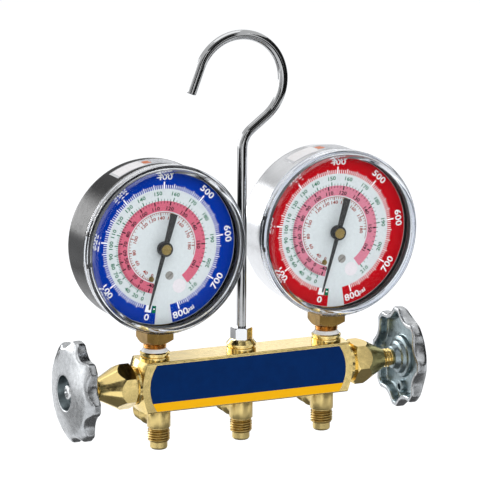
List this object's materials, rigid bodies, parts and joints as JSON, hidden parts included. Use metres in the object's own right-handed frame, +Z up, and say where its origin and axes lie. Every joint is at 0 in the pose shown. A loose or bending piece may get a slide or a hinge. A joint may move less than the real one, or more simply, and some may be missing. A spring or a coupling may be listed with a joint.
{
  "type": "refrigerant manifold gauge set",
  "caption": "Hanging refrigerant manifold: brass bar with dial gauges, handwheel valves, hose ports with parking stubs, and a hook.",
  "frame": {"origin": "the hang point: inner crown of the hook, above the middle of the bar", "axes": "+X along the bar to the reader's right, +Y to the back, +Z up; the dials face -Y"},
  "size_m": [0.1892, 0.0514, 0.2056],
  "materials": {
    "polished_brass": "polished",
    "turned_brass": "turned",
    "socket_brass": "oiled, dark",
    "hook_chrome": "bright plated",
    "case_steel": "polished",
    "clear_crystal": "clear plastic",
    "black_rubber": "matt",
    "white_seal": "matt",
    "cast_wheel": "as cast, satin",
    "screw_steel": "plain",
    "small_brass": "turned",
    "blue_dial": "printed, satin",
    "red_dial": "printed, satin",
    "black_pointer": "satin",
    "movement_brass": "stamped",
    "tube_bronze": "drawn",
    "spring_bronze": "strip",
    "label_film": "gloss film",
    "sticker_paper": "gloss film"
  },
  "bodies": {
    "manifold": {"manifold_bar": "polished_brass", "front_label": "label_film", "left_port": "polished_brass", "centre_port": "polished_brass", "right_port": "polished_brass", "hook": "hook_chrome", "hook_lock_nut": "hook_chrome", "left_gauge_seal": "white_seal", "right_gauge_seal": "white_seal", "left_bonnet": "polished_brass", "left_packing": "black_rubber", "left_gauge_socket": "socket_brass", "left_gauge_case": "case_steel", "left_case_screws": "screw_steel", "left_case_sticker": "sticker_paper", "left_crystal": "clear_crystal", "left_crystal_gasket": "black_rubber", "left_dial": "blue_dial", "left_dial_screws": "small_brass", "left_calibration_screw": "screw_steel", "left_movement_frame": "movement_brass", "left_bourdon_tube": "tube_bronze", "left_tube_tip": "movement_brass", "left_hairspring": "spring_bronze", "right_bonnet": "polished_brass", "right_packing": "black_rubber", "right_gauge_socket": "socket_brass", "right_gauge_case": "case_steel", "right_case_screws": "screw_steel", "right_case_sticker": "sticker_paper", "right_crystal": "clear_crystal", "right_crystal_gasket": "black_rubber", "right_dial": "red_dial", "right_dial_screws": "small_brass", "right_calibration_screw": "screw_steel", "right_movement_frame": "movement_brass", "right_bourdon_tube": "tube_bronze", "right_tube_tip": "movement_brass", "right_hairspring": "spring_bronze"},
    "left_piston_body": {"left_piston": "turned_brass", "left_seat_seal": "white_seal"},
    "left_wheel_body": {"left_stem": "turned_brass", "left_handwheel": "cast_wheel", "left_wheel_screw": "screw_steel"},
    "left_pointer_body": {"left_pointer": "black_pointer", "left_pointer_pin": "small_brass", "left_pinion_arbor": "movement_brass"},
    "left_sector_body": {"left_sector_gear": "movement_brass"},
    "left_link_body": {"left_link": "movement_brass"},
    "right_piston_body": {"right_piston": "turned_brass", "right_seat_seal": "white_seal"},
    "right_wheel_body": {"right_stem": "turned_brass", "right_handwheel": "cast_wheel", "right_wheel_screw": "screw_steel"},
    "right_pointer_body": {"right_pointer": "black_pointer", "right_pointer_pin": "small_brass", "right_pinion_arbor": "movement_brass"},
    "right_sector_body": {"right_sector_gear": "movement_brass"},
    "right_link_body": {"right_link": "movement_brass"}
  },
  "joints": [
    {"name": "left_valve_travel", "type": "slide", "parent": "manifold", "child": "left_piston_body", "axis": [-1, 0, 0], "range_m": [0, 0.0032]},
    {"name": "left_wheel_turn", "type": "hinge", "parent": "left_piston_body", "child": "left_wheel_body", "pos_m": [-0.088, 0, -0.16752], "axis": [-1, 0, 0], "range_deg": [0, 720]},
    {"name": "left_pointer_turn", "type": "hinge", "parent": "manifold", "child": "left_pointer_body", "pos_m": [-0.0466, -0.0102, -0.09772], "axis": [0, 1, 0], "range_deg": [0, 324], "stiffness_Nm_per_rad": 0.0002, "springref_deg": -2.86},
    {"name": "left_sector_turn", "type": "hinge", "parent": "manifold", "child": "left_sector_body", "pos_m": [-0.0466, -0.0022, -0.11572], "axis": [0, 1, 0], "range_deg": [-40.6, 0]},
    {"name": "left_link_turn", "type": "hinge", "parent": "left_sector_body", "child": "left_link_body", "pos_m": [-0.05447, -0.0035, -0.1143], "axis": [0, 1, 0], "range_deg": [0, 40.6]},
    {"name": "right_valve_travel", "type": "slide", "parent": "manifold", "child": "right_piston_body", "axis": [1, 0, 0], "range_m": [0, 0.0032]},
    {"name": "right_wheel_turn", "type": "hinge", "parent": "right_piston_body", "child": "right_wheel_body", "pos_m": [0.088, 0, -0.16752], "axis": [1, 0, 0], "range_deg": [0, 720]},
    {"name": "right_pointer_turn", "type": "hinge", "parent": "manifold", "child": "right_pointer_body", "pos_m": [0.0466, -0.0102, -0.09772], "axis": [0, 1, 0], "range_deg": [0, 324], "stiffness_Nm_per_rad": 0.0002, "springref_deg": -2.86},
    {"name": "right_sector_turn", "type": "hinge", "parent": "manifold", "child": "right_sector_body", "pos_m": [0.0466, -0.0022, -0.11572], "axis": [0, 1, 0], "range_deg": [-40.6, 0]},
    {"name": "right_link_turn", "type": "hinge", "parent": "right_sector_body", "child": "right_link_body", "pos_m": [0.03873, -0.0035, -0.1143], "axis": [0, 1, 0], "range_deg": [0, 40.6]}
  ],
  "couplings": [
    {"joint": "left_valve_travel", "follows": "left_wheel_turn", "m_per_rad": 0.00025266},
    {"joint": "left_sector_turn", "follows": "left_pointer_turn", "ratio": -0.125},
    {"joint": "left_link_turn", "follows": "left_pointer_turn", "ratio": 0.125},
    {"joint": "right_valve_travel", "follows": "right_wheel_turn", "m_per_rad": 0.00025266},
    {"joint": "right_sector_turn", "follows": "right_pointer_turn", "ratio": -0.125},
    {"joint": "right_link_turn", "follows": "right_pointer_turn", "ratio": 0.125}
  ]
}
